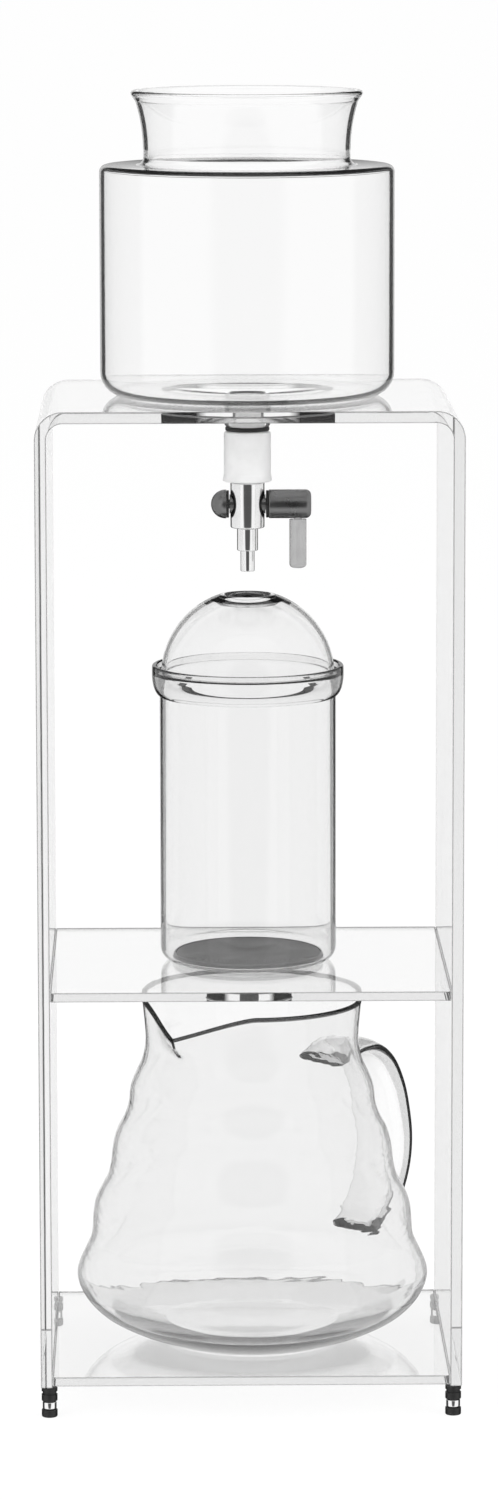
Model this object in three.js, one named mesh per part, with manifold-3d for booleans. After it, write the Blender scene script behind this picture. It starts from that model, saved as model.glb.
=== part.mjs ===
// Cold drip coffee tower: a water vessel with a stopcock, a coffee chamber under a dome lid
// and a carafe, all of clear glass, on a clear acrylic stand.
// Millimetres, +Z up. The origin is on the floor under the middle of the stand, and -Y is the front.
import * as THREE from 'three';
import { mergeVertices } from 'three/addons/utils/BufferGeometryUtils.js';
import Module from 'manifold-3d';

const wasm = await Module();
wasm.setup();

// Clearances shared by all pieces
const seatGap = 0.3;
const glueGap = 0.1;
const overrun = 1;
const weldTolerance = 0.0001;

// Rounding of the meshes, in steps
const glassSteps = 32;
const carafeSteps = 40;
const holeSteps = 40;
const fittingSteps = 20;
const footSteps = 12;
const cornerSteps = 3;
const curveSteps = 5;
const domeSteps = 7;
const handleSteps = 16;
const bendSteps = 6;

// Turns
const quarterTurn = Math.PI / 2;
const halfTurn = Math.PI;

// Acrylic stand: one sheet bent to an arch, with two shelves between its sides
const standDepth = 150;
const panelThickness = 5;
const bendRadius = 12;
const shelfThickness = 4;
const baseShelfLift = 0.7;
const topHoleMargin = 4;
const midHoleRadius = 18.3;

// Room that the stand leaves beside and above the carafe, and for the drops above the lid
const carafeSideGap = 8.3;
const carafeHeadroom = 12.3;
const dropGap = 10;

// Feet: a rubber pad and a rubber collar threaded on a steel pin, under each panel end
const footHeight = 13.2;
const footRadius = 3.4;
const footInset = 0.2;
const padHeight = 3.3;
const padTaper = 0.35;
const padFloor = 1.1;
const flangeHeight = 3.1;
const flangeRadius = 3;
const pinRadius = 1.2;
const pinClearance = 0.3;
const pinHeadroom = 0.6;
const grooveHeight = 1.2;
const grooveDepth = 0.5;
const grooveDrop = 1.7;

// Water vessel
const glassWall = 2;
const vesselRadius = 63;
const vesselBodyHeight = 98.3;
const vesselCornerRadius = 10;
const shoulderRadius = 3;
const vesselNeckRadius = 44.2;
const vesselNeckHeight = 31.6;
const neckFillet = 5.5;
const rimFlare = 5.3;
const rimBeadRadius = 1.4;
const neckBowHeight = 17.7;
const funnelRadius = 33;
const funnelDrop = 4;
const outletRadius = 9.8;
const outletWall = 1.8;
const outletDrop = 13.5;
const outletFillet = 1.5;

// Seal ring and silicone sleeve between the outlet and the stopcock
const ringRadius = 9.5;
const ringThickness = 1.8;
const sleeveRadius = 10.1;
const sleeveFootRadius = 10.7;
const sleeveFlareHeight = 3.4;
const sleeveHeight = 21.5;
const sleevePlugHeight = 10;
const sleeveClearance = 0.3;
const sleeveChamfer = 0.8;

// Stopcock
const spigotRadius = 4;
const spigotHeight = 24;
const waterBoreRadius = 2;
const valveRadius = 7.4;
const valveHeight = 19.8;
const valveChamfer = 0.5;
const plugRise = 10.2;
const plugRadius = 4.15;
const plugClearance = 0.35;
const plugHoleRadius = 1.8;
const studRadius = 2;
const studLength = 5;
const shaftRadius = 2.6;
const shaftLength = 9.4;
const sideClearance = 0.3;
const washerThickness = 0.8;
const washerRadius = 5.9;
const nutRadius = 6.2;
const nutCollar = 0.4;
const hubRadius = 6.2;
const hubLength = 18.3;
const hubRounding = 2.4;
const leverInset = 5.7;
const leverRadius = 3.7;
const leverReach = 27.7;
const leverRounding = 2.6;
const leverStudRadius = 1.8;
const leverStudLength = 4.4;
const leverStudClearance = 0.3;

// Drip nozzle
const nozzleSpigotRadius = 3;
const nozzleSpigotLength = 3.4;
const nozzleClearance = 0.3;
const nozzleStepRadius = 4.55;
const nozzleStepLength = 9.6;
const nozzleTipRadius = 3.05;
const nozzleTipLength = 9;
const nozzleBoreRadius = 1.4;
const nozzleChamfer = 0.4;

// Coffee chamber
const chamberRadius = 38.1;
const chamberFloor = 1.4;
const chamberCornerRadius = 6;
const chamberNeckHeight = 116;
const collarFlare = 3.3;
const collarBulgeInset = 0.4;
const collarBulgeStart = 1.5;
const collarBulgeHeight = 8.5;
const collarRise = 10.2;
const lipHeight = 3.2;
const lipThickness = 2;
const lipChamfer = 0.6;
const chamberOutletRadius = 5;
const chamberOutletBore = 3.2;
const chamberOutletDrop = 7.2;

// Seal ring on the chamber outlet and filter disc in the chamber
const outletSealThickness = 0.9;
const outletSealHeight = 6.4;
const filterSideGap = 3.3;
const filterTaper = 0.6;
const filterRimWidth = 2.8;
const filterRimHeight = 1.8;
const meshRebate = 0.6;
const meshThickness = 0.6;
const meshStep = 0.7;
const filterGap = 0.3;

// Dome lid
const lidClearance = 1.8;
const domeRise = 2.4;
const domeHoleRadius = 8.8;
const domeBeadRadius = 2.5;
const domeBeadSink = 2.56;
const domeBeadMargin = 0.8;

// Carafe: outline shares of its greatest radius and of its height, from the base up
const carafeRadius = 76.7;
const carafeHeight = 150.6;
const carafeFloor = 6;
const carafeFloorRadius = 28;
const carafeHeelHeight = 11;
const carafeShiftX = 1.5;
const carafeShiftY = -2.15;
const carafeOutlineShares = [
  [0.5, 0], [0.58, 0.012], [0.67, 0.029], [0.775, 0.053], [0.868, 0.081], [0.938, 0.115],
  [0.981, 0.15], [1, 0.186], [0.985, 0.219], [0.948, 0.26], [0.916, 0.301], [0.908, 0.356],
  [0.895, 0.4], [0.862, 0.437], [0.825, 0.472], [0.805, 0.514], [0.792, 0.568], [0.768, 0.611],
  [0.726, 0.652], [0.702, 0.692], [0.692, 0.736], [0.664, 0.776], [0.626, 0.818],
  [0.606, 0.869], [0.61, 0.924], [0.625, 1],
];
const carafeOuterSteps = 28;
const carafeInnerSteps = 20;
const spoutDip = 10.4;
const spoutReach = 6;
const spoutPinch = 1.6;
const spoutStartShare = 0.83;
const spoutHalfAngle = 42;
const spoutSharpness = 1.25;

// Carafe handle: a glass strap, its middle line in shares of the carafe's radius and height
const handleAngle = 49;
const handleWidth = 27;
const handleThickness = 7;
const handleSides = 7;
const handleLineShares = [
  [0.6, 0.756], [0.7, 0.774], [0.82, 0.79], [0.96, 0.781], [1.08, 0.736], [1.17, 0.657],
  [1.22, 0.568], [1.24, 0.491], [1.225, 0.415], [1.17, 0.341], [1.09, 0.282], [1, 0.242],
  [0.9, 0.212],
];

// Widths that follow from the sizes above
const standHalfWidth = carafeRadius + carafeSideGap + panelThickness;
const topHoleRadius = funnelRadius + topHoleMargin;
const vesselRimRadius = vesselNeckRadius + rimFlare;
const collarRadius = chamberRadius + collarFlare;
const filterRadius = chamberRadius - glassWall - filterSideGap;
const filterTopRadius = filterRadius - filterTaper;
const domeRadius = collarRadius - lipThickness - lidClearance;
const domeBeadCentre = domeHoleRadius + domeBeadRadius;
const domeEndRadius = domeBeadCentre + domeBeadRadius + domeBeadMargin;

// Heights that follow from the sizes above: each piece stands on the one below it
const baseShelfBottom = footHeight + baseShelfLift;
const carafeBase = baseShelfBottom + shelfThickness + seatGap;
const midShelfTop = carafeBase + carafeHeight + carafeHeadroom + shelfThickness;
const chamberBase = midShelfTop + seatGap;
const ledgeHeight = chamberNeckHeight + collarRise;
const domeBase = chamberBase + ledgeHeight + seatGap;
const domeBeadLift = Math.sqrt(domeRadius ** 2 - domeBeadCentre ** 2) - domeBeadSink - domeRise;
const nozzleBase = domeBase + domeBeadLift + domeBeadRadius + dropGap;
const valveBottom = nozzleBase + nozzleTipLength + nozzleStepLength + seatGap;
const plugAxisHeight = valveBottom + plugRise;
const sleeveBottom = valveBottom + valveHeight + seatGap;
const sleeveTop = sleeveBottom + sleeveHeight;
const ringBase = sleeveTop + seatGap;
const vesselBase = ringBase + ringThickness + seatGap + outletDrop;
const plateTop = vesselBase - seatGap;

// Materials
const finish = (color, roughness, metalness) =>
  new THREE.MeshStandardMaterial({ color, roughness, metalness });
const acrylic = () => finish(0xf0f3f4, 0.08, 0);
const glass = () => finish(0xe6ebec, 0.03, 0);
const steel = () => finish(0xa9abad, 0.22, 1);
const darkSteel = () => finish(0x6d6e70, 0.45, 0.8);
const blackRubber = () => finish(0x141415, 0.6, 0);
const silicone = () => finish(0xe2e3e3, 0.45, 0);
const clearPlastic = () => finish(0xcfd1d2, 0.2, 0);

// Merges the shared corners of a shape, drops its flat triangles and turns its faces outwards
function welded(geometry) {
  geometry.deleteAttribute('normal');
  geometry.deleteAttribute('uv');
  const merged = mergeVertices(geometry, weldTolerance);
  const corners = merged.index.array;
  const kept = [];
  for (let i = 0; i < corners.length; i += 3) {
    const [a, b, c] = [corners[i], corners[i + 1], corners[i + 2]];
    if (a !== b && b !== c && a !== c) kept.push(a, b, c);
  }
  if (signedVolume(merged.attributes.position, kept) < 0) kept.reverse();
  merged.setIndex(kept);
  return merged;
}

function signedVolume(position, corners) {
  const [a, b, c] = [new THREE.Vector3(), new THREE.Vector3(), new THREE.Vector3()];
  let sum = 0;
  for (let i = 0; i < corners.length; i += 3) {
    a.fromBufferAttribute(position, corners[i]);
    b.fromBufferAttribute(position, corners[i + 1]);
    c.fromBufferAttribute(position, corners[i + 2]);
    sum += a.dot(b.cross(c));
  }
  return sum;
}

function toSolid(geometry) {
  const shape = welded(geometry);
  return new wasm.Manifold(new wasm.Mesh({
    numProp: 3,
    vertProperties: new Float32Array(shape.attributes.position.array),
    triVerts: new Uint32Array(shape.index.array),
  }));
}

function toGeometry(solid) {
  const mesh = solid.getMesh();
  const geometry = new THREE.BufferGeometry();
  geometry.setAttribute('position', new THREE.BufferAttribute(mesh.vertProperties, 3));
  geometry.setIndex(new THREE.BufferAttribute(mesh.triVerts, 1));
  geometry.computeVertexNormals();
  return geometry;
}

// Outline helpers: every point is [radius, height]
function arc([centreRadius, centreHeight], radius, startAngle, endAngle, steps) {
  const points = [];
  for (let i = 0; i <= steps; i += 1) {
    const angle = THREE.MathUtils.degToRad(startAngle + (endAngle - startAngle) * (i / steps));
    points.push([centreRadius + radius * Math.cos(angle), centreHeight + radius * Math.sin(angle)]);
  }
  return points;
}

function bow(start, control, end, steps) {
  const curve = new THREE.QuadraticBezierCurve(
    new THREE.Vector2(...start), new THREE.Vector2(...control), new THREE.Vector2(...end));
  return curve.getPoints(steps).map((point) => [point.x, point.y]);
}

// Moves an outline sideways, to the left of the way it runs
function offset(points, distance) {
  return points.map(([radius, height], i) => {
    const before = points[Math.max(i - 1, 0)];
    const after = points[Math.min(i + 1, points.length - 1)];
    const run = [after[0] - before[0], after[1] - before[1]];
    const length = Math.hypot(...run);
    return [radius - distance * (run[1] / length), height + distance * (run[0] / length)];
  });
}

// Turns an outline round the Z axis: it closes on itself unless it starts on the axis
function turned(outline, steps) {
  const points = outline.map(([radius, height]) => new THREE.Vector2(Math.max(radius, 0), height));
  if (points[0].x > 0) points.push(points[0].clone());
  const geometry = new THREE.LatheGeometry(points, steps);
  geometry.rotateX(quarterTurn);
  return geometry;
}

function rod(radius, length, steps) {
  const geometry = new THREE.CylinderGeometry(radius, radius, length, steps);
  geometry.rotateX(quarterTurn);
  return geometry;
}

function alongX(geometry) {
  geometry.rotateY(quarterTurn);
  return geometry;
}

const tower = new THREE.Group();

function add(name, geometry, material, [x, y, z] = [0, 0, 0], spin = 0) {
  const mesh = new THREE.Mesh(toGeometry(toSolid(geometry)), material);
  mesh.name = name;
  mesh.position.set(x, y, z);
  mesh.rotation.z = spin;
  tower.add(mesh);
}

// Stand arch: the bent sheet with the hole that the water vessel hangs through
function archOutline() {
  const half = standHalfWidth;
  const innerHalf = half - panelThickness;
  const innerBend = bendRadius - panelThickness;
  const under = plateTop - panelThickness;
  const shape = new THREE.Shape();
  shape.moveTo(half, footHeight);
  shape.lineTo(half, plateTop - bendRadius);
  shape.absarc(half - bendRadius, plateTop - bendRadius, bendRadius, 0, quarterTurn, false);
  shape.lineTo(bendRadius - half, plateTop);
  shape.absarc(bendRadius - half, plateTop - bendRadius, bendRadius, quarterTurn, halfTurn, false);
  shape.lineTo(-half, footHeight);
  shape.lineTo(-innerHalf, footHeight);
  shape.lineTo(-innerHalf, under - innerBend);
  shape.absarc(innerBend - innerHalf, under - innerBend, innerBend, halfTurn, quarterTurn, true);
  shape.lineTo(innerHalf - innerBend, under);
  shape.absarc(innerHalf - innerBend, under - innerBend, innerBend, quarterTurn, 0, true);
  shape.lineTo(innerHalf, footHeight);
  return shape;
}

function standArch() {
  const sheet = new THREE.ExtrudeGeometry(archOutline(), {
    depth: standDepth, bevelEnabled: false, curveSegments: bendSteps,
  });
  sheet.rotateX(quarterTurn);
  sheet.translate(0, standDepth / 2, 0);
  const hole = rod(topHoleRadius, panelThickness + overrun + overrun, holeSteps);
  hole.translate(0, 0, plateTop - panelThickness / 2);
  return toGeometry(toSolid(sheet).subtract(toSolid(hole)));
}

// Shelf: a flat plate between the panels, with or without a round hole
function shelf(holeRadius) {
  const halfWidth = standHalfWidth - panelThickness - glueGap;
  const halfDepth = standDepth / 2;
  const shape = new THREE.Shape();
  shape.moveTo(-halfWidth, -halfDepth);
  shape.lineTo(halfWidth, -halfDepth);
  shape.lineTo(halfWidth, halfDepth);
  shape.lineTo(-halfWidth, halfDepth);
  if (holeRadius > 0) {
    const hole = new THREE.Path();
    hole.absarc(0, 0, holeRadius, 0, halfTurn + halfTurn, true);
    shape.holes.push(hole);
  }
  return new THREE.ExtrudeGeometry(shape, {
    depth: shelfThickness, bevelEnabled: false, curveSegments: holeSteps,
  });
}

add('stand_arch', standArch(), acrylic());
add('mid_shelf', shelf(midHoleRadius), acrylic(), [0, 0, midShelfTop - shelfThickness]);
add('base_shelf', shelf(0), acrylic(), [0, 0, baseShelfBottom]);

// Foot pad: a tapered rubber button with a blind hole for the pin
function footPad() {
  const holeRadius = pinRadius + pinClearance;
  return turned([
    [0, 0], [footRadius - padTaper, 0], [footRadius, padTaper], [footRadius, padHeight],
    [holeRadius, padHeight], [holeRadius, padFloor], [0, padFloor],
  ], footSteps);
}

// Foot pin: a steel pin with a flange between pad and collar
function footPin() {
  const start = padFloor + pinClearance;
  const flangeStart = padHeight + seatGap;
  const flangeEnd = flangeStart + flangeHeight;
  const end = footHeight - pinHeadroom;
  return turned([
    [0, start], [pinRadius, start], [pinRadius, flangeStart], [flangeRadius, flangeStart],
    [flangeRadius, flangeEnd], [pinRadius, flangeEnd], [pinRadius, end], [0, end],
  ], footSteps);
}

// Foot collar: a grooved rubber ring that carries the panel
function footCollar() {
  const holeRadius = pinRadius + pinClearance;
  const start = padHeight + seatGap + flangeHeight + seatGap;
  const end = footHeight - seatGap;
  const grooveTop = end - grooveDrop;
  const grooveBottom = grooveTop - grooveHeight;
  return turned([
    [holeRadius, start], [footRadius, start], [footRadius, grooveBottom],
    [footRadius - grooveDepth, grooveBottom], [footRadius - grooveDepth, grooveTop],
    [footRadius, grooveTop], [footRadius, end], [holeRadius, end],
  ], footSteps);
}

const footX = standHalfWidth - footRadius - footInset;
const footY = standDepth / 2 - footRadius - footInset;
for (const [end, sideY] of [['front', -1], ['rear', 1]]) {
  for (const [side, sideX] of [['left', -1], ['right', 1]]) {
    const place = [sideX * footX, sideY * footY, 0];
    add(`foot_pad_${end}_${side}`, footPad(), blackRubber(), place);
    add(`foot_pin_${end}_${side}`, footPin(), steel(), place);
    add(`foot_collar_${end}_${side}`, footCollar(), blackRubber(), place);
  }
}

// Water vessel: outer outline from the outlet to the rim, then the inner one back down
function vesselOutline() {
  const bore = outletRadius - outletWall;
  const top = vesselBodyHeight;
  const rim = top + vesselNeckHeight;
  const bead = [vesselRimRadius - rimBeadRadius, rim - rimBeadRadius];
  const neckOuter = bow(
    [vesselNeckRadius, top + neckFillet], [vesselNeckRadius, top + neckBowHeight],
    [bead[0], bead[1] - rimBeadRadius], curveSteps);
  const neckInner = offset(neckOuter, glassWall).reverse();
  const filletCentre = [vesselNeckRadius + neckFillet, top + neckFillet];
  const shoulderCentre = [vesselRadius - shoulderRadius, top - shoulderRadius];
  const cornerCentre = [vesselRadius - vesselCornerRadius, vesselCornerRadius];
  return [
    [outletRadius, -outletDrop], [outletRadius, -funnelDrop - outletFillet],
    [outletRadius + outletFillet, -funnelDrop], [funnelRadius, 0],
    ...arc(cornerCentre, vesselCornerRadius, -90, 0, cornerSteps),
    ...arc(shoulderCentre, shoulderRadius, 0, 90, cornerSteps),
    ...arc(filletCentre, neckFillet, 270, 180, cornerSteps).slice(0, -1),
    ...neckOuter.slice(0, -1),
    ...arc(bead, rimBeadRadius, -60, 180, curveSteps),
    ...neckInner.slice(1, -1),
    ...arc(filletCentre, neckFillet + glassWall, 180, 270, cornerSteps),
    ...arc(shoulderCentre, shoulderRadius - glassWall, 90, 0, 2),
    ...arc(cornerCentre, vesselCornerRadius - glassWall, 0, -90, cornerSteps),
    [funnelRadius, glassWall], [bore + outletFillet, glassWall - funnelDrop],
    [bore, glassWall - funnelDrop - outletFillet], [bore, -outletDrop],
  ];
}

// Seal ring under the end of the glass outlet
function outletRing() {
  const bore = outletRadius - outletWall;
  return turned([
    [bore, 0], [ringRadius, 0], [ringRadius, ringThickness], [bore, ringThickness],
  ], fittingSteps);
}

// Silicone sleeve: a plug in the outlet, a shoulder below it, and a bore for the spigot
function siliconeSleeve() {
  const bore = spigotRadius + sleeveClearance;
  const plug = outletRadius - outletWall - sleeveClearance;
  return turned([
    [bore, 0], [sleeveFootRadius, 0], [sleeveRadius, sleeveFlareHeight],
    [sleeveRadius, sleeveHeight - sleeveChamfer], [sleeveRadius - sleeveChamfer, sleeveHeight],
    [plug, sleeveHeight], [plug, sleeveHeight + sleevePlugHeight],
    [bore, sleeveHeight + sleevePlugHeight],
  ], fittingSteps);
}

add('water_vessel', turned(vesselOutline(), glassSteps), glass(), [0, 0, vesselBase]);
add('outlet_ring', outletRing(), blackRubber(), [0, 0, ringBase]);
add('silicone_sleeve', siliconeSleeve(), silicone(), [0, 0, sleeveBottom]);

// Valve body: an upright barrel with a spigot above, bored down its middle and across
function valveBody() {
  const socket = nozzleSpigotRadius + nozzleClearance;
  const socketTop = nozzleSpigotLength + nozzleClearance;
  const barrel = turned([
    [socket, 0], [valveRadius - valveChamfer, 0], [valveRadius, valveChamfer],
    [valveRadius, valveHeight - valveChamfer], [valveRadius - valveChamfer, valveHeight],
    [spigotRadius, valveHeight], [spigotRadius, valveHeight + spigotHeight],
    [waterBoreRadius, valveHeight + spigotHeight], [waterBoreRadius, socketTop], [socket, socketTop],
  ], fittingSteps);
  const length = valveRadius + valveRadius + overrun + overrun;
  const cross = alongX(rod(plugRadius + plugClearance, length, fittingSteps));
  cross.translate(0, 0, plugRise);
  return toGeometry(toSolid(barrel).subtract(toSolid(cross)));
}

// Drip nozzle: a stepped tube whose spigot sits in the valve body
function dripNozzle() {
  const tipTop = nozzleTipLength;
  const stepTop = tipTop + nozzleStepLength;
  return turned([
    [nozzleBoreRadius, 0], [nozzleTipRadius - nozzleChamfer, 0], [nozzleTipRadius, nozzleChamfer],
    [nozzleTipRadius, tipTop], [nozzleStepRadius - nozzleChamfer, tipTop],
    [nozzleStepRadius, tipTop + nozzleChamfer], [nozzleStepRadius, stepTop],
    [nozzleSpigotRadius, stepTop], [nozzleSpigotRadius, stepTop + nozzleSpigotLength],
    [nozzleBoreRadius, stepTop + nozzleSpigotLength],
  ], fittingSteps);
}

// Valve plug: a cylinder with a water hole across it, a nut stud and a lever shaft
const plugHalfLength = valveRadius + sideClearance;
function valvePlug() {
  const studEnd = -plugHalfLength - studLength;
  const shaftEnd = plugHalfLength + shaftLength;
  const plug = alongX(turned([
    [0, studEnd], [studRadius, studEnd], [studRadius, -plugHalfLength],
    [plugRadius, -plugHalfLength], [plugRadius, plugHalfLength],
    [shaftRadius, plugHalfLength], [shaftRadius, shaftEnd], [0, shaftEnd],
  ], fittingSteps));
  const hole = rod(plugHoleRadius, plugRadius + plugRadius + overrun + overrun, fittingSteps);
  return toGeometry(toSolid(plug).subtract(toSolid(hole)));
}

function sideWasher(boreRadius, start) {
  const bore = boreRadius + sideClearance;
  const end = start + washerThickness;
  return alongX(turned([
    [bore, start], [washerRadius, start], [washerRadius, end], [bore, end],
  ], fittingSteps));
}

// Plug nut: a domed cap on the stud, at the left of the valve body
const nutStart = plugHalfLength + seatGap + washerThickness + seatGap;
const leverOffset = nutStart + hubLength - leverInset;
function plugNut() {
  const bore = studRadius + sideClearance;
  const boreEnd = plugHalfLength + studLength + sideClearance;
  const domeStart = nutStart + nutCollar;
  const dome = arc([0, domeStart], nutRadius, 0, 90, curveSteps).slice(0, -1);
  const outline = [
    [0, boreEnd], [bore, boreEnd], [bore, nutStart], [nutRadius, nutStart], ...dome,
    [0, domeStart + nutRadius],
  ];
  return alongX(turned(outline.map(([radius, along]) => [radius, -along]), fittingSteps));
}

// Lever hub: the round barrel on the plug's shaft, with a radial hole for the lever's stud
function leverHub() {
  const bore = shaftRadius + sideClearance;
  const boreEnd = plugHalfLength + shaftLength + sideClearance;
  const end = nutStart + hubLength;
  const corner = [hubRadius - hubRounding, end - hubRounding];
  const barrel = alongX(turned([
    [0, boreEnd], [bore, boreEnd], [bore, nutStart], [hubRadius, nutStart],
    ...arc(corner, hubRounding, 0, 90, cornerSteps), [0, end],
  ], fittingSteps));
  const depth = leverStudLength + leverStudClearance;
  const hole = rod(leverStudRadius + leverStudClearance, depth + overrun, fittingSteps);
  hole.translate(leverOffset, 0, depth / 2 - overrun / 2 - hubRadius);
  return toGeometry(toSolid(barrel).subtract(toSolid(hole)));
}

// Lever rod: hangs from the hub, round at its free end
function leverRod() {
  const top = -hubRadius - seatGap;
  const corner = [leverRadius - leverRounding, leverRounding - leverReach];
  return turned([
    [0, -leverReach], ...arc(corner, leverRounding, -90, 0, cornerSteps),
    [leverRadius, top], [leverStudRadius, top],
    [leverStudRadius, leverStudLength - hubRadius], [0, leverStudLength - hubRadius],
  ], fittingSteps);
}

const plugCentre = [0, 0, plugAxisHeight];
const leverCentre = [leverOffset, 0, plugAxisHeight];
add('valve_body', valveBody(), steel(), [0, 0, valveBottom]);
add('drip_nozzle', dripNozzle(), steel(), [0, 0, nozzleBase]);
add('valve_plug', valvePlug(), steel(), plugCentre);
add('nut_washer', sideWasher(studRadius, -nutStart + seatGap), blackRubber(), plugCentre);
add('plug_nut', plugNut(), steel(), plugCentre);
add('hub_washer', sideWasher(shaftRadius, plugHalfLength + seatGap), blackRubber(), plugCentre);
add('lever_hub', leverHub(), darkSteel(), plugCentre);
add('lever_rod', leverRod(), clearPlastic(), leverCentre);

// Coffee chamber: outer outline from the outlet up to the lip, then the inner one back down
function chamberOutline() {
  const inner = chamberRadius - glassWall;
  const corner = [chamberRadius - chamberCornerRadius, chamberCornerRadius];
  const innerCornerRadius = chamberCornerRadius - glassWall;
  const innerCorner = [inner - innerCornerRadius, chamberFloor + innerCornerRadius];
  const neck = chamberNeckHeight;
  const lipTop = ledgeHeight + lipHeight;
  const lipInner = collarRadius - lipThickness;
  return [
    [chamberOutletRadius, -chamberOutletDrop], [chamberOutletRadius, 0],
    ...arc(corner, chamberCornerRadius, -90, 0, cornerSteps),
    ...bow([chamberRadius, neck], [collarRadius - collarBulgeInset, neck + collarBulgeStart],
      [collarRadius, neck + collarBulgeHeight], curveSteps),
    [collarRadius, lipTop - lipChamfer], [collarRadius - lipChamfer, lipTop],
    [lipInner + lipChamfer, lipTop], [lipInner, lipTop - lipChamfer], [lipInner, ledgeHeight],
    [inner + lipChamfer, ledgeHeight], [inner, ledgeHeight - lipChamfer],
    ...arc(innerCorner, innerCornerRadius, 0, -90, cornerSteps),
    [chamberOutletBore, chamberFloor], [chamberOutletBore, -chamberOutletDrop],
  ];
}

// Seal ring round the chamber outlet, inside the shelf's hole
function outletSeal() {
  const bore = chamberOutletRadius + sleeveClearance;
  const outer = bore + outletSealThickness;
  return turned([
    [bore, 0], [outer, 0], [outer, outletSealHeight], [bore, outletSealHeight],
  ], fittingSteps);
}

// Filter: a rim with a rebate, and the woven disc that lies in it
function filterRim() {
  const inner = filterRadius - filterRimWidth;
  const rebate = filterTopRadius - meshRebate;
  return turned([
    [inner, 0], [filterRadius, 0], [filterTopRadius, filterRimHeight], [rebate, filterRimHeight],
    [rebate, meshStep], [inner, meshStep],
  ], glassSteps);
}

function filterMesh() {
  const radius = filterTopRadius - meshRebate - seatGap;
  const bottom = meshStep + seatGap;
  return turned([
    [0, bottom], [radius, bottom], [radius, bottom + meshThickness], [0, bottom + meshThickness],
  ], glassSteps);
}

const filterBase = chamberBase + chamberFloor + filterGap;
add('coffee_chamber', turned(chamberOutline(), glassSteps), glass(), [0, 0, chamberBase]);
add('outlet_seal', outletSeal(), blackRubber(), [0, 0, chamberBase - seatGap - outletSealHeight]);
add('filter_rim', filterRim(), darkSteel(), [0, 0, filterBase]);
add('filter_mesh', filterMesh(), darkSteel(), [0, 0, filterBase]);

// Dome lid: a part of a sphere with a beaded hole at the top
function domeOutline() {
  const sphere = (radius, from, to) =>
    arc([0, -domeRise], radius, from, to, domeSteps);
  const angle = (height, radius) => THREE.MathUtils.radToDeg(Math.asin(height / radius));
  const top = (radius) => THREE.MathUtils.radToDeg(Math.acos(domeEndRadius / radius));
  const inner = domeRadius - glassWall;
  const bead = [domeBeadCentre, domeBeadLift];
  return [
    ...sphere(domeRadius, angle(domeRise, domeRadius), top(domeRadius)),
    ...arc(bead, domeBeadRadius, 40, 290, curveSteps),
    ...sphere(inner, top(inner), angle(domeRise, inner)),
  ];
}

add('dome_lid', turned(domeOutline(), glassSteps), glass(), [0, 0, domeBase]);

// Carafe: the wavy wall is drawn with the handle along +X and the spout along -X
function carafeCurve(steps) {
  const curve = new THREE.SplineCurve(carafeOutlineShares.map(([radiusShare, heightShare]) =>
    new THREE.Vector2(radiusShare * carafeRadius, heightShare * carafeHeight)));
  return curve.getPoints(steps).map((point) => [point.x, point.y]);
}

function carafeOutline() {
  const outer = carafeCurve(carafeOuterSteps);
  const inner = offset(carafeCurve(carafeInnerSteps), glassWall).reverse();
  const raised = inner.filter(([, height]) => height > carafeHeelHeight);
  return [[0, 0], ...outer, ...raised, [carafeFloorRadius, carafeFloor], [0, carafeFloor]];
}

// Pulls the rim down and out to a pouring lip, fading below the neck
function shapeSpout(geometry) {
  const position = geometry.attributes.position;
  const start = spoutStartShare * carafeHeight;
  for (let i = 0; i < position.count; i += 1) {
    const [x, y, z] = [position.getX(i), position.getY(i), position.getZ(i)];
    const angle = THREE.MathUtils.radToDeg(Math.atan2(Math.abs(y), -x));
    const rise = THREE.MathUtils.smoothstep(z, start, carafeHeight);
    const near = Math.max(1 - angle / spoutHalfAngle, 0);
    const pull = spoutReach * near * near - spoutPinch * Math.sin(halfTurn * near);
    const radius = Math.hypot(x, y);
    const stretch = radius > 0 ? 1 + (rise * pull) / radius : 1;
    position.setXYZ(i, x * stretch, y * stretch, z - rise * spoutDip * near ** spoutSharpness);
  }
  return geometry;
}

// Handle strap: an oval section swept along a line in the XZ plane
function handleStrap() {
  const line = new THREE.CatmullRomCurve3(handleLineShares.map(([radiusShare, heightShare]) =>
    new THREE.Vector3(radiusShare * carafeRadius, 0, heightShare * carafeHeight)));
  const section = new THREE.Shape();
  section.absellipse(0, 0, handleWidth / 2, handleThickness / 2, 0, halfTurn + halfTurn, false);
  return new THREE.ExtrudeGeometry(section, {
    steps: handleSteps, curveSegments: handleSides, bevelEnabled: false, extrudePath: line,
  });
}

// The strap's ends are cut to a round core, so that both stop in the middle of the wall
function carafe() {
  const wall = toSolid(shapeSpout(turned(carafeOutline(), carafeSteps)));
  const skin = offset(carafeCurve(carafeOuterSteps), glassWall / 2);
  const core = toSolid(turned([[0, 0], ...skin, [0, carafeHeight]], carafeSteps));
  const handle = toSolid(handleStrap()).subtract(core);
  return toGeometry(wall.add(handle));
}

add('carafe', carafe(), glass(), [carafeShiftX, carafeShiftY, carafeBase],
  THREE.MathUtils.degToRad(handleAngle));

export default tower;
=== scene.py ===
"""Cold drip coffee tower: fine meshes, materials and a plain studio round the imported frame.

Lengths are in millimetres and become metres when a mesh is made. The floor is z = 0 and the
front of the tower faces -Y.
"""
import math

import bmesh
import bpy
from mathutils import Matrix, Vector


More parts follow.
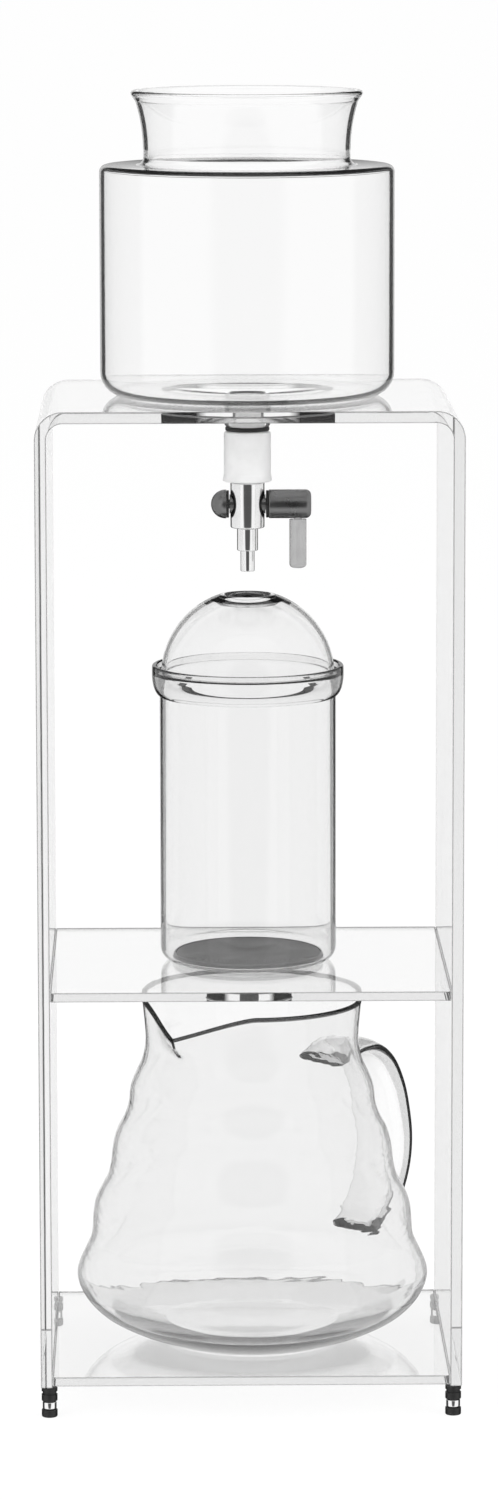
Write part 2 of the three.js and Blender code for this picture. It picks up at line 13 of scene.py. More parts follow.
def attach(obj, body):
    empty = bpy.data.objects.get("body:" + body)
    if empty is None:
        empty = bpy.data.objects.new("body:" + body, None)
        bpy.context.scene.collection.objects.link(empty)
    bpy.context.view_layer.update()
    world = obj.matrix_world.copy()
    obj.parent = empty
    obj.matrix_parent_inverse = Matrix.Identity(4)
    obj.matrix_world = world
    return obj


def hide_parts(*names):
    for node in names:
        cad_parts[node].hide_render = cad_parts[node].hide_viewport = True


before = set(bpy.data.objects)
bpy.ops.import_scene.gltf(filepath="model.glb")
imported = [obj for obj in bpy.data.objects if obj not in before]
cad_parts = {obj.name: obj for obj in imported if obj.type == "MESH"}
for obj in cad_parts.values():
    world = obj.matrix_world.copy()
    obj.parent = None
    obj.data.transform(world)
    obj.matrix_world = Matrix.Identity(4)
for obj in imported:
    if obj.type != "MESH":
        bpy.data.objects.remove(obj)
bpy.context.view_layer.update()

MM = 0.001
TINY = 1e-6
QUARTER = math.pi / 2

# Camera, from a fit of the stand's edges in the photograph
CAMERA_PLACE = (-35.57, -2468.48, 662.18)
CAMERA_TILT = 8.8637
CAMERA_YAW = 0.8365
CAMERA_ROLL = -0.103
FOCAL_PIXELS = 5767.37
PHOTO_HEIGHT = 1500
SENSOR = 36

# Materials: refraction, and the depths of light paths after which a sheet shows a painted glow in
# place of the backdrop
GLASS_IOR = 1.47
ACRYLIC_IOR = 1.49
MIRROR_LIMIT = 2.5
PASS_LIMIT = 10.5

# Studio, in metres
LAMP_TARGET = (0, 0, 0.28)

# Skins by the index of their faces
HOLE_SKIN, REAR_SKIN, BEVEL_SKIN, PANEL_SKIN = 1, 2, 3, 4
SECOND_SKIN = 1
STRAP_SKIN, STRAP_EDGE_SKIN, RIM_SKIN, BASE_SKIN, HEEL_SKIN, ROOT_SKIN = 1, 2, 3, 4, 5, 6

# Creases, in degrees
CREASE = 35
GLASS_CREASE = 60
HANDLE_CREASE = 50
BEVEL_LEAST_ANGLE = 50

# Rounding of the meshes, in steps
TURN_STEPS = 160
FITTING_STEPS = 96
FOOT_STEPS = 64
HOLE_STEPS = 128
FILLET_STEPS = 7
BOW_STEPS = 24

# Stand
STAND_WIDTH = 180
STAND_DEPTH = 150
PANEL = 5
PLATE_TOP = 431.4
BEND_RADIUS = 12
BEND_STEPS = 20
SHELF = 4
MID_SHELF_TOP = 185.1
FOOT_HEIGHT = 13.2
BASE_SHELF_BOTTOM = 13.9
TOP_HOLE = 37
MID_HOLE = 18.3
GLUE_GAP = 0.1
EDGE_BEVEL = 0.45
BEVEL_CREASE = 10
SEAT_GAP = 0.3

# Feet
FOOT_RADIUS = 3.4
FOOT_INSET = 0.2
FOOT_HOLE = 1.5
PAD_FLOOR = 1.1
PAD_HEIGHT = 3.3
FLANGE_RADIUS = 3
FLANGE_HEIGHT = 3.1
PIN_RADIUS = 1.2
PIN_HEADROOM = 0.6
GROOVE_DEPTH = 0.5
GROOVE_HEIGHT = 1.2
GROOVE_DROP = 1.7

# Glass: heights of the pieces over the floor, and their sizes
WALL = 2
VESSEL_BASE = 431.7
VESSEL_RADIUS = 63
VESSEL_BODY = 98.3
VESSEL_CORNER = 10
SHOULDER = 3
NECK_RADIUS = 44.2
NECK_HEIGHT = 31.6
NECK_FILLET = 5.5
RIM_RADIUS = 49.5
RIM_BEAD = 1.4
NECK_BOW_HEIGHT = 17.7
FUNNEL_RADIUS = 33
FUNNEL_DROP = 4
FUNNEL_FILLET = 14
OUTLET_RADIUS = 9.8
OUTLET_BORE = 8
OUTLET_DROP = 13.5
OUTLET_FILLET = 2.5

CHAMBER_BASE = 185.4
CHAMBER_RADIUS = 38.1
CHAMBER_FLOOR = 1.4
CHAMBER_CORNER = 6
CHAMBER_NECK = 116
COLLAR_RADIUS = 41.4
COLLAR_BULGE_INSET = 0.4
COLLAR_BULGE_START = 1.5
COLLAR_BULGE_HEIGHT = 8.5
LEDGE_HEIGHT = 126.2
LIP_HEIGHT = 3.2
LIP_ROUNDING = 0.9
CHAMBER_OUTLET = 5
CHAMBER_BORE = 3.2
CHAMBER_OUTLET_DROP = 7.2

DOME_BASE = 311.9
DOME_RADIUS = 37.6
DOME_RISE = 2.4
DOME_HOLE = 8.8
DOME_BEAD = 2.5
DOME_BEAD_LIFT = 30.9
DOME_END = 14.6

CARAFE_BASE = 18.2
CARAFE_RADIUS = 76.7
CARAFE_HEIGHT = 150.6
CARAFE_FLOOR = 6
CARAFE_FLOOR_RADIUS = 28
CARAFE_HEEL = 11
CARAFE_PLACE = (1.5, -2.15)
CARAFE_OUTLINE = (
    (0.5, 0), (0.58, 0.012), (0.67, 0.029), (0.775, 0.053), (0.868, 0.081), (0.938, 0.115),
    (0.981, 0.15), (1, 0.186), (0.985, 0.219), (0.948, 0.26), (0.916, 0.301), (0.908, 0.356),
    (0.895, 0.4), (0.862, 0.437), (0.825, 0.472), (0.805, 0.514), (0.792, 0.568), (0.768, 0.611),
    (0.726, 0.652), (0.702, 0.692), (0.692, 0.736), (0.664, 0.776), (0.626, 0.818),
    (0.606, 0.869), (0.61, 0.924), (0.625, 1),
)
CARAFE_WALL_STEPS = 110
SPOUT_DIP = 10.4
SPOUT_REACH = 6
SPOUT_PINCH = 1.6
SPOUT_START = 0.83
SPOUT_HALF_ANGLE = 42
SPOUT_SHARPNESS = 1.25
HANDLE_ANGLE = 49
HANDLE_WIDTH = 27
HANDLE_THICKNESS = 7
HANDLE_SIDES = 48
HANDLE_STEPS = 64
HANDLE_STAND_OFF = 0.7
HANDLE_ROOT = 8
HANDLE_EDGE_NORMAL = 0.78
RIM_ZONE = 1.7
BASE_ZONE = 5
HEEL_ZONE = 26
HANDLE_LINE = (
    (0.6, 0.756), (0.7, 0.774), (0.82, 0.79), (0.96, 0.781), (1.08, 0.736), (1.17, 0.657),
    (1.22, 0.568), (1.24, 0.491), (1.225, 0.415), (1.17, 0.341), (1.09, 0.282), (1, 0.242),
    (0.9, 0.212),
)

# Sleeve, stopcock and nozzle
SLEEVE_TOP = 415.8
SLEEVE_HEIGHT = 21.5
SLEEVE_RADIUS = 10.1
SLEEVE_FOOT = 10.7
SLEEVE_FLARE = 3.4
SLEEVE_PLUG = 7.7
SLEEVE_BORE = 4.3
SLEEVE_PLUG_HEIGHT = 10
RING_BASE = 416.1
RING_RADIUS = 9.5
RING_HEIGHT = 1.8
VALVE_BASE = 374.2
VALVE_RADIUS = 7.4
VALVE_HEIGHT = 19.8
SPIGOT_RADIUS = 4
SPIGOT_HEIGHT = 24
WATER_BORE = 2
SOCKET_RADIUS = 3.3
SOCKET_HEIGHT = 3.7
CROSS_BORE = 4.5
PLUG_AXIS = 384.4
WASHER_THICKNESS = 0.8
WASHER_RADIUS = 5.9
WASHER_START = VALVE_RADIUS + SEAT_GAP + SEAT_GAP
WASHER_GAP = 0.05
NUT_START = WASHER_START + WASHER_THICKNESS + SEAT_GAP
NUT_RADIUS = 6.2
NUT_COLLAR = 0.4
NUT_BORE = 2.3
NUT_BORE_END = 13
HUB_BORE = 2.9
HUB_BORE_END = 17.4
HUB_RADIUS = 6.2
HUB_END = NUT_START + 18.3
HUB_ROUNDING = 2.4
LEVER_OFFSET = HUB_END - 5.7
LEVER_RADIUS = 3.7
LEVER_REACH = 27.7
LEVER_ROUNDING = 2.6
LEVER_STUD = 1.8
LEVER_STUD_TOP = HUB_RADIUS - 4.4
NOZZLE_BASE = 355.3
NOZZLE_TIP_RADIUS = 3.05
NOZZLE_TIP = 9
NOZZLE_STEP_RADIUS = 4.55
NOZZLE_STEP_TOP = 18.6
NOZZLE_SPIGOT_RADIUS = 3
NOZZLE_SPIGOT_TOP = 22
NOZZLE_BORE = 1.4

# Seal of the chamber's outlet, and the filter
SEAL_BASE = 178.7
SEAL_BORE = 5.3
SEAL_RADIUS = 6.2
SEAL_HEIGHT = 6.4
FILTER_BASE = 187.1
FILTER_RADIUS = 32.8
FILTER_TOP_RADIUS = 32.2
FILTER_INNER = 30
FILTER_REBATE = 31.6
FILTER_RIM_HEIGHT = 1.8
FILTER_STEP = 0.7
MESH_RADIUS = 31.3
MESH_BOTTOM = 1.0
MESH_TOP = 1.6


# Outlines: points are (radius, height), or (radius, height, rounding of that corner)
def arc(centre, radius, start, end, steps):
    points = []
    for i in range(steps + 1):
        angle = math.radians(start + (end - start) * i / steps)
        points.append((centre[0] + radius * math.cos(angle), centre[1] + radius * math.sin(angle)))
    return points


def bow(start, control, end, steps=BOW_STEPS):
    """A quadratic curve from start to end, pulled towards control."""
    points = []
    for i in range(steps + 1):
        t = i / steps
        points.append(tuple(
            (1 - t) ** 2 * a + 2 * t * (1 - t) * b + t ** 2 * c
            for a, b, c in zip(start, control, end)))
    return points


def spline(points, steps):
    """A smooth curve through all the points, at even steps of its parameter."""
    last = len(points) - 1
    curve = []
    for i in range(steps + 1):
        whole = min(int(i / steps * last), last - 1)
        t = i / steps * last - whole
        near = [points[min(max(whole + k, 0), last)] for k in (-1, 0, 1, 2)]
        curve.append(tuple(
            b + (c - a) / 2 * t + (a - 2.5 * b + 2 * c - d / 2) * t * t
            + (1.5 * (b - c) + (d - a) / 2) * t ** 3
            for a, b, c, d in zip(*near)))
    return curve


def offset(points, distance):
    """Moves an outline to the left of the way it runs."""
    moved = []
    for i, (radius, height) in enumerate(points):
        before = points[max(i - 1, 0)]
        after = points[min(i + 1, len(points) - 1)]
        run = (after[0] - before[0], after[1] - before[1])
        length = math.hypot(*run)
        moved.append((radius - distance * run[1] / length, height + distance * run[0] / length))
    return moved


def rounded(points, closed=True, steps=FILLET_STEPS):
    """Swaps each corner that has a rounding for an arc, shortened where the sides are short."""
    smooth = []
    count = len(points)
    for i, point in enumerate(points):
        here = Vector(point[:2])
        radius = point[2] if len(point) > 2 else 0
        if radius == 0 or (not closed and i in (0, count - 1)):
            smooth.append(tuple(here))
            continue
        to_before = Vector(points[i - 1][:2]) - here
        to_after = Vector(points[(i + 1) % count][:2]) - here
        half = to_before.angle(to_after) / 2
        if half > QUARTER - 0.01:
            smooth.append(tuple(here))
            continue
        reach = min(radius / math.tan(half), to_before.length * 0.499, to_after.length * 0.499)
        radius = reach * math.tan(half)
        middle = (to_before.normalized() + to_after.normalized()).normalized()
        centre = here + middle * (radius / math.sin(half))
        start = here + to_before.normalized() * reach - centre
        end = here + to_after.normalized() * reach - centre
        turn = start.angle_signed(end)
        for k in range(steps + 1):
            spoke = start.copy()
            spoke.rotate(Matrix.Rotation(-turn * k / steps, 2))
            smooth.append(tuple(centre + spoke))
    return smooth


# Meshes
def finished_mesh(name, maker, sharp=CREASE):
    """Turns a bmesh into a smooth-shaded mesh with its faces outwards and its creases sharp."""
    bmesh.ops.remove_doubles(maker, verts=maker.verts, dist=TINY)
    bmesh.ops.recalc_face_normals(maker, faces=maker.faces)
    mesh = bpy.data.meshes.new(name)
    maker.to_mesh(mesh)
    maker.free()
    mesh.shade_smooth()
    mesh.set_sharp_from_angle(angle=math.radians(sharp))
    return mesh


def turned(name, outline, steps=TURN_STEPS, place=(0, 0, 0), along_x=False, sharp=CREASE):
    """Turns an outline round the Z axis, or round the X axis with its heights along X."""
    maker = bmesh.new()
    rings = []
    for radius, height in outline:
        count = 1 if radius < TINY else steps
        ring = []
        for i in range(count):
            angle = 2 * math.pi * i / steps
            spot = Vector((radius * math.cos(angle), radius * math.sin(angle), height))
            if along_x:
                spot = Vector((spot.z, spot.y, -spot.x))
            ring.append(maker.verts.new((spot + Vector(place)) * MM))
        rings.append(ring)
    closed = outline[0][0] > TINY
    for low, high in zip(rings, rings[1:] + (rings[:1] if closed else [])):
        for i in range(steps):
            corners = [low[i % len(low)], low[(i + 1) % len(low)],
                       high[(i + 1) % len(high)], high[i % len(high)]]
            unique = list(dict.fromkeys(corners))
            if len(unique) > 2:
                maker.faces.new(unique)
    return finished_mesh(name, maker, sharp)


def prism(name, outline, start, end, axis):
    """A closed outline carried straight along Y (outline in X and Z) or Z (in X and Y)."""
    maker = bmesh.new()
    sides = []
    for along in (start, end):
        spots = [(a, along, b) if axis == "Y" else (a, b, along) for a, b in outline]
        sides.append([maker.verts.new(Vector(spot) * MM) for spot in spots])
    count = len(outline)
    for i in range(count):
        j = (i + 1) % count
        maker.faces.new((sides[0][i], sides[0][j], sides[1][j], sides[1][i]))
    maker.faces.new(sides[0])
    maker.faces.new(sides[1])
    return finished_mesh(name, maker)


def combined(mesh, other, operation, sharp=CREASE):
    """One mesh cut from or joined to another."""
    scene = bpy.context.scene.collection
    holder = bpy.data.objects.new("holder", mesh)
    tool = bpy.data.objects.new("tool", other)
    for thing in (holder, tool):
        scene.objects.link(thing)
    modifier = holder.modifiers.new("solid", "BOOLEAN")
    modifier.object = tool
    modifier.operation = operation
    modifier.solver = "EXACT"
    graph = bpy.context.evaluated_depsgraph_get()
    result = bpy.data.meshes.new_from_object(holder.evaluated_get(graph))
    for thing in (holder, tool):
        bpy.data.objects.remove(thing)
    result.name = mesh.name
    result.shade_smooth()
    result.set_sharp_from_angle(angle=math.radians(sharp))
    return result


def bevelled(mesh, width, least_angle=BEVEL_LEAST_ANGLE, steps=3):
    """Rounds the edges between faces that meet at more than least_angle degrees."""
    maker = bmesh.new()
    maker.from_mesh(mesh)
    edges = [edge for edge in maker.edges
             if len(edge.link_faces) == 2
             and edge.calc_face_angle(0) > math.radians(least_angle)]
    bmesh.ops.bevel(maker, geom=edges, offset=width * MM, segments=steps, profile=0.5,
                    affect="EDGES", clamp_overlap=True)
    return finished_mesh(mesh.name, maker, BEVEL_CREASE)


def paint_faces(mesh, index, chosen):
    """Gives material slot index to the faces that chosen picks by centre (mm) and normal."""
    for face in mesh.polygons:
        if chosen(face.center / MM, face.normal):
            face.material_index = index


def add_piece(name, mesh, materials, body, slot, *nodes):
    piece = bpy.data.objects.new(name, mesh)
    painted = [face.material_index for face in mesh.polygons]
    mesh.materials.clear()
    for material in materials:
        mesh.materials.append(material)
    mesh.polygons.foreach_set("material_index", painted)
    bpy.context.scene.collection.objects.link(piece)
    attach(piece, body)
    if nodes:
        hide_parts(*nodes)
    return piece


# Material nodes
def new_material(name):
    material = bpy.data.materials.new(name)
    material.use_nodes = True
    material.node_tree.nodes.clear()
    return material, material.node_tree


def node(tree, kind, **sockets):
    made = tree.nodes.new(kind)
    for name, value in sockets.items():
        plug(tree, made.inputs[name.replace("_", " ")], value)
    return made


def plug(tree, socket, value):
    if isinstance(value, bpy.types.NodeSocket):
        tree.links.new(value, socket)
    else:
        socket.default_value = value


def calculate(tree, operation, *values):
    made = tree.nodes.new("ShaderNodeMath")
    made.operation = operation
    for socket, value in zip(made.inputs, values):
        plug(tree, socket, value)
    return made.outputs[0]


def ranged(tree, value, low, high, start, end):
    made = node(tree, "ShaderNodeMapRange", Value=value, From_Min=low, From_Max=high,
                To_Min=start, To_Max=end)
    return made.outputs["Result"]


def ramp(tree, value, stops):
    """A colour ramp: stops are (place, grey)."""
    made = node(tree, "ShaderNodeValToRGB", Fac=value)
    elements = made.color_ramp.elements
    while len(elements) < len(stops):
        elements.new(1)
    for element, (place, grey) in zip(elements, stops):
        element.position = place
        element.color = (grey, grey, grey, 1)
    return made.outputs["Color"]


def grey(level):
    return (level, level, level, 1)


def noise(tree, scale, detail=3, stretch=(1, 1, 1)):
    place = node(tree, "ShaderNodeTexCoord").outputs["Object"]
    moved = node(tree, "ShaderNodeMapping", Vector=place, Scale=stretch)
    made = node(tree, "ShaderNodeTexNoise", Vector=moved.outputs[0], Scale=scale, Detail=detail)
    return made.outputs["Fac"]


def bump(tree, height, strength, distance):
    made = node(tree, "ShaderNodeBump", Strength=strength, Distance=distance * MM, Height=height)
    return made.outputs["Normal"]


def close(tree, shader, lamp_share=None):
    """Ends a material. With lamp_share, lamps shine through it with that share of their light."""
    output = tree.nodes.new("ShaderNodeOutputMaterial")
    if lamp_share is not None:
        path = tree.nodes.new("ShaderNodeLightPath")
        window = node(tree, "ShaderNodeBsdfTransparent", Color=grey(lamp_share))
        mixed = tree.nodes.new("ShaderNodeMixShader")
        tree.links.new(path.outputs["Is Shadow Ray"], mixed.inputs[0])
        tree.links.new(shader, mixed.inputs[1])
        tree.links.new(window.outputs[0], mixed.inputs[2])
        shader = mixed.outputs[0]
    tree.links.new(shader, output.inputs["Surface"])


def lit_far_end(tree, shader, level):
    """Paints a glow, an emission of the given grey level, where light has been mirrored many
    times inside a sheet or has passed many surfaces, in place of the bright backdrop it
    would end on.
    """
    path = tree.nodes.new("ShaderNodeLightPath")
    mirrored = calculate(tree, "GREATER_THAN", path.outputs["Glossy Depth"], MIRROR_LIMIT)
    passed = calculate(tree, "GREATER_THAN", path.outputs["Transmission Depth"], PASS_LIMIT)
    white = node(tree, "ShaderNodeEmission", Color=grey(level), Strength=1)
    mixed = tree.nodes.new("ShaderNodeMixShader")
    tree.links.new(calculate(tree, "MAXIMUM", mirrored, passed), mixed.inputs[0])
    tree.links.new(shader, mixed.inputs[1])
    tree.links.new(white.outputs[0], mixed.inputs[2])
    return mixed.outputs[0]


def clear_solid(name, ior, tint, dark, start, end, strength, ripple, far_end=None, least=0,
                stretch=(1, 1, 1)):
    """Clear glass or acrylic. Where light meets the surface from inside past the critical
    angle, or skims it from outside, a dark diffuse colour is mixed in by a Fresnel share
    instead of the backdrop: a painted reflection of the dark room. Least gives a share of
    that painted shade everywhere."""
    material, tree = new_material(name)
    waves = noise(tree, 60, 1, stretch)
    smudge = noise(tree, 35, 4)
    clear = node(
        tree, "ShaderNodeBsdfPrincipled", Base_Color=tint, IOR=ior,
        Roughness=ranged(tree, smudge, 0.45, 0.75, 0, 0.035),
        Normal=bump(tree, waves, ripple, 0.6))
    clear.inputs["Transmission Weight"].default_value = 1
    fresnel = node(tree, "ShaderNodeFresnel", IOR=ior).outputs[0]
    share = ranged(tree, fresnel, start, end, least, strength)
    # Dark diffuse colour mixed in by the Fresnel share: painted reflection of the dark room.
    edge = node(tree, "ShaderNodeBsdfDiffuse", Color=dark)
    mixed = tree.nodes.new("ShaderNodeMixShader")
    tree.links.new(share, mixed.inputs[0])
    tree.links.new(clear.outputs[0], mixed.inputs[1])
    tree.links.new(edge.outputs[0], mixed.inputs[2])
    shader = mixed.outputs[0]
    if far_end is not None:
        shader = lit_far_end(tree, shader, far_end)
    close(tree, shader, 0.93)
    return material


def hole_wall(name, ior):
    """The wall of a hole in clear sheet: bright where it is met squarely, and painted black at
    its flanks by a Layer Weight facing ramp, a painted shade in place of the total internal
    reflection there.
    """
    material, tree = new_material(name)
    smudge = noise(tree, 300, 3)
    clear = node(tree, "ShaderNodeBsdfPrincipled", Base_Color=grey(0.97), IOR=ior,
                 Roughness=ranged(tree, smudge, 0.3, 0.7, 0.02, 0.12))
    clear.inputs["Transmission Weight"].default_value = 1
    facing = node(tree, "ShaderNodeLayerWeight", Blend=0.5).outputs["Facing"]
    share = ramp(tree, facing, ((0.12, 0), (0.2, 1), (1, 1)))
    # Near-black diffuse colour: painted shade at the flanks.
    black = node(tree, "ShaderNodeBsdfDiffuse", Color=grey(0.004))
    mixed = tree.nodes.new("ShaderNodeMixShader")
    tree.links.new(share, mixed.inputs[0])
    tree.links.new(clear.outputs[0], mixed.inputs[1])
    tree.links.new(black.outputs[0], mixed.inputs[2])
    close(tree, mixed.outputs[0], 0.9)
    return material


def metal(name, level, roughness, spread, scale, strength):
    """Turned metal with fine lines round the part and a faintly uneven colour and gloss."""
    material, tree = new_material(name)
    lines = noise(tree, scale, 2, (0.02, 0.02, 1))
    worn = noise(tree, 180, 4)
    shader = node(
        tree, "ShaderNodeBsdfPrincipled",
        Base_Color=ramp(tree, worn, ((0.3, level * 0.94), (0.7, level))),
        Roughness=ranged(tree, worn, 0.3, 0.7, roughness, roughness + spread),
        Normal=bump(tree, lines, strength, 0.05))
    shader.inputs["Metallic"].default_value = 1
    close(tree, shader.outputs[0])
    return material


def rubber(name, level):
    material, tree = new_material(name)
    grain = noise(tree, 2600, 3)
    bloom = noise(tree, 240, 4)
    shader = node(
        tree, "ShaderNodeBsdfPrincipled",
        Base_Color=ramp(tree, bloom, ((0.35, level), (0.75, level * 2.2))),
        Roughness=ranged(tree, bloom, 0.3, 0.7, 0.42, 0.62),
        Normal=bump(tree, grain, 0.35, 0.08))
    close(tree, shader.outputs[0])
    return material


def silicone(name):
    """Milky, translucent moulding with a faint cloud in it."""
    material, tree = new_material(name)
    cloud = noise(tree, 150, 4)
    shader = node(
        tree, "ShaderNodeBsdfPrincipled",
        Base_Color=ramp(tree, cloud, ((0.3, 0.8), (0.7, 0.88))),
        Roughness=ranged(tree, cloud, 0.3, 0.7, 0.3, 0.4), IOR=1.41)
    shader.inputs["Transmission Weight"].default_value = 0.35
    close(tree, shader.outputs[0], 0.75)
    return material


def lever_plastic(name):
    """Smoky clear rod with a faint cloud in it."""
    material, tree = new_material(name)
    cloud = noise(tree, 120, 3)
    shader = node(
        tree, "ShaderNodeBsdfPrincipled",
        Base_Color=ramp(tree, cloud, ((0.3, 0.42), (0.7, 0.5))),
        Roughness=ranged(tree, cloud, 0.3, 0.7, 0.08, 0.14), IOR=ACRYLIC_IOR)
    shader.inputs["Transmission Weight"].default_value = 0.8
    close(tree, shader.outputs[0], 0.7)
    return material


def woven_steel(name):
    """Plain-woven wire cloth: two sets of wires that pass over and under each other."""
    material, tree = new_material(name)
    place = node(tree, "ShaderNodeTexCoord").outputs["Object"]
    axes = node(tree, "ShaderNodeSeparateXYZ", Vector=place)
    turns = 2 * math.pi / (1.1 * MM)
    across = calculate(tree, "SINE", calculate(tree, "MULTIPLY", axes.outputs["X"], turns))
    along = calculate(tree, "SINE", calculate(tree, "MULTIPLY", axes.outputs["Y"], turns))
    weave = calculate(tree, "MULTIPLY", across, along)
    dust = noise(tree, 90, 4)
    level = calculate(tree, "ADD", calculate(tree, "MULTIPLY", weave, 0.2), dust)
    shader = node(
        tree, "ShaderNodeBsdfPrincipled",
        Base_Color=ramp(tree, level, ((0.2, 0.02), (0.5, 0.06), (0.85, 0.13))),
        Roughness=ranged(tree, dust, 0.3, 0.7, 0.35, 0.55),
        Normal=bump(tree, weave, 0.5, 0.25))
    shader.inputs["Metallic"].default_value = 0.6
    close(tree, shader.outputs[0])
    return material


# Camera, world, floor and lamps
def make_camera():
    tilt, yaw, roll = (math.radians(a) for a in (CAMERA_TILT, CAMERA_YAW, CAMERA_ROLL))
    ahead = Vector((math.sin(yaw) * math.cos(tilt), math.cos(yaw) * math.cos(tilt),
                    -math.sin(tilt)))
    right = Vector((math.cos(yaw), -math.sin(yaw), 0))
    up = right.cross(ahead)
    turned_right = right * math.cos(roll) + up * math.sin(roll)
    turned_up = up * math.cos(roll) - right * math.sin(roll)
    data = bpy.data.cameras.new("camera")
    data.sensor_width = SENSOR
    data.lens = FOCAL_PIXELS * SENSOR / PHOTO_HEIGHT
    data.clip_end = 100
    camera = bpy.data.objects.new("camera", data)
    matrix = Matrix((turned_right, turned_up, -ahead)).transposed().to_4x4()
    matrix.translation = Vector(CAMERA_PLACE) * MM
    camera.matrix_world = matrix
    bpy.context.scene.collection.objects.link(camera)
    bpy.context.scene.camera = camera


def make_world(ambient=0.95):
    """White behind everything; gloss also mirrors the dark room beside and behind the camera."""
    world = bpy.data.worlds.new("studio")
    bpy.context.scene.world = world
    world.use_nodes = True
    tree = world.node_tree
    tree.nodes.clear()
    path = tree.nodes.new("ShaderNodeLightPath")
    way = node(tree, "ShaderNodeTexCoord").outputs["Generated"]
    depth = node(tree, "ShaderNodeSeparateXYZ", Vector=way).outputs["Y"]
    room = ramp(tree, ranged(tree, depth, -1, 1, 0, 1), (
        (0, 0.09), (0.045, 0.1), (0.075, 1), (0.48, 1), (0.54, 0.05), (0.965, 0.04), (0.985, 1),
        (1, 1)))
    lit = node(tree, "ShaderNodeBackground", Color=grey(1), Strength=ambient)
    mirrored = node(tree, "ShaderNodeBackground", Color=room, Strength=1)
    white = node(tree, "ShaderNodeBackground", Color=grey(1), Strength=1)
    seen = calculate(tree, "MAXIMUM", path.outputs["Is Camera Ray"],
                     path.outputs["Is Transmission Ray"])
    first = tree.nodes.new("ShaderNodeMixShader")
    tree.links.new(path.outputs["Is Glossy Ray"], first.inputs[0])
    tree.links.new(lit.outputs[0], first.inputs[1])
    tree.links.new(mirrored.outputs[0], first.inputs[2])
    second = tree.nodes.new("ShaderNodeMixShader")
    tree.links.new(seen, second.inputs[0])
    tree.links.new(first.outputs[0], second.inputs[1])
    tree.links.new(white.outputs[0], second.inputs[2])
    output = tree.nodes.new("ShaderNodeOutputWorld")
    tree.links.new(second.outputs[0], output.inputs["Surface"])


def make_floor(half_side=40000, glow=0.9):
    material, tree = new_material("floor_paper")
    path = tree.nodes.new("ShaderNodeLightPath")
    paper = node(tree, "ShaderNodeBsdfDiffuse", Color=grey(0.96))
    white = node(tree, "ShaderNodeEmission", Color=grey(1), Strength=1)
    seen = calculate(tree, "MAXIMUM", path.outputs["Is Camera Ray"],
                     path.outputs["Is Transmission Ray"])
    mixed = tree.nodes.new("ShaderNodeMixShader")
    tree.links.new(calculate(tree, "MULTIPLY", seen, glow), mixed.inputs[0])
    tree.links.new(paper.outputs[0], mixed.inputs[1])
    tree.links.new(white.outputs[0], mixed.inputs[2])
    close(tree, mixed.outputs[0])
    maker = bmesh.new()
    corners = [(-1, -1), (1, -1), (1, 1), (-1, 1)]
    maker.faces.new([maker.verts.new((x * half_side * MM, y * half_side * MM, 0))
                     for x, y in corners])
    mesh = bpy.data.meshes.new("floor")
    maker.to_mesh(mesh)
    maker.free()
    mesh.materials.append(material)
    floor = bpy.data.objects.new("floor", mesh)
    floor.visible_glossy = False
    bpy.context.scene.collection.objects.link(floor)


def make_lamp(name, place, size, power):
    data = bpy.data.lights.new(name, "AREA")
    data.shape = "RECTANGLE"
    data.size, data.size_y = size
    data.energy = power
    lamp = bpy.data.objects.new(name, data)
    lamp.location = place
    target = Vector(LAMP_TARGET)
    lamp.rotation_euler = (target - Vector(place)).to_track_quat("-Z", "Y").to_euler()
    lamp.visible_glossy = False
    lamp.visible_transmission = False
    bpy.context.scene.collection.objects.link(lamp)


# Stand
def arch_outline():
    half = STAND_WIDTH / 2
    inner = half - PANEL
    inner_bend = BEND_RADIUS - PANEL
    under = PLATE_TOP - PANEL
    right_bend = (half - BEND_RADIUS, PLATE_TOP - BEND_RADIUS)
    left_bend = (-right_bend[0], right_bend[1])
    return [
        (half, FOOT_HEIGHT), *arc(right_bend, BEND_RADIUS, 0, 90, BEND_STEPS),
        *arc(left_bend, BEND_RADIUS, 90, 180, BEND_STEPS), (-half, FOOT_HEIGHT),
        (-inner, FOOT_HEIGHT), *arc(left_bend, inner_bend, 180, 90, BEND_STEPS),
        *arc(right_bend, inner_bend, 90, 0, BEND_STEPS), (inner, FOOT_HEIGHT),
    ], under


def drilled(mesh, radius, low, high):
    outline = [(radius * math.cos(2 * math.pi * i / HOLE_STEPS),
                radius * math.sin(2 * math.pi * i / HOLE_STEPS)) for i in range(HOLE_STEPS)]
    drill = prism("drill", outline, low - 1, high + 1, "Z")
    return combined(mesh, drill, "DIFFERENCE")


def on_wall(radius):
    """Picks the upright faces of a round hole about the Z axis."""
    return lambda centre, normal: (
        abs(math.hypot(centre.x, centre.y) - radius) < 0.3 and abs(normal.z) < 0.1)


def is_side(_, normal):
    """Picks the broad faces of the side panels, with their bends."""
    return abs(normal.x) > 0.5 and abs(normal.y) < 0.15


def is_rear(_, normal):
    return normal.y > 0.98


def is_bevel(_, normal):
    """Picks the rounded edges of the cut faces at the front and rear."""
    return 0.15 < abs(normal.y) < 0.98


def is_shelf_bevel(centre, normal):
    """Picks those of a shelf, and the rounded edges beside the panels."""
    return is_bevel(centre, normal) or min(abs(normal.x), abs(normal.z)) > 0.15


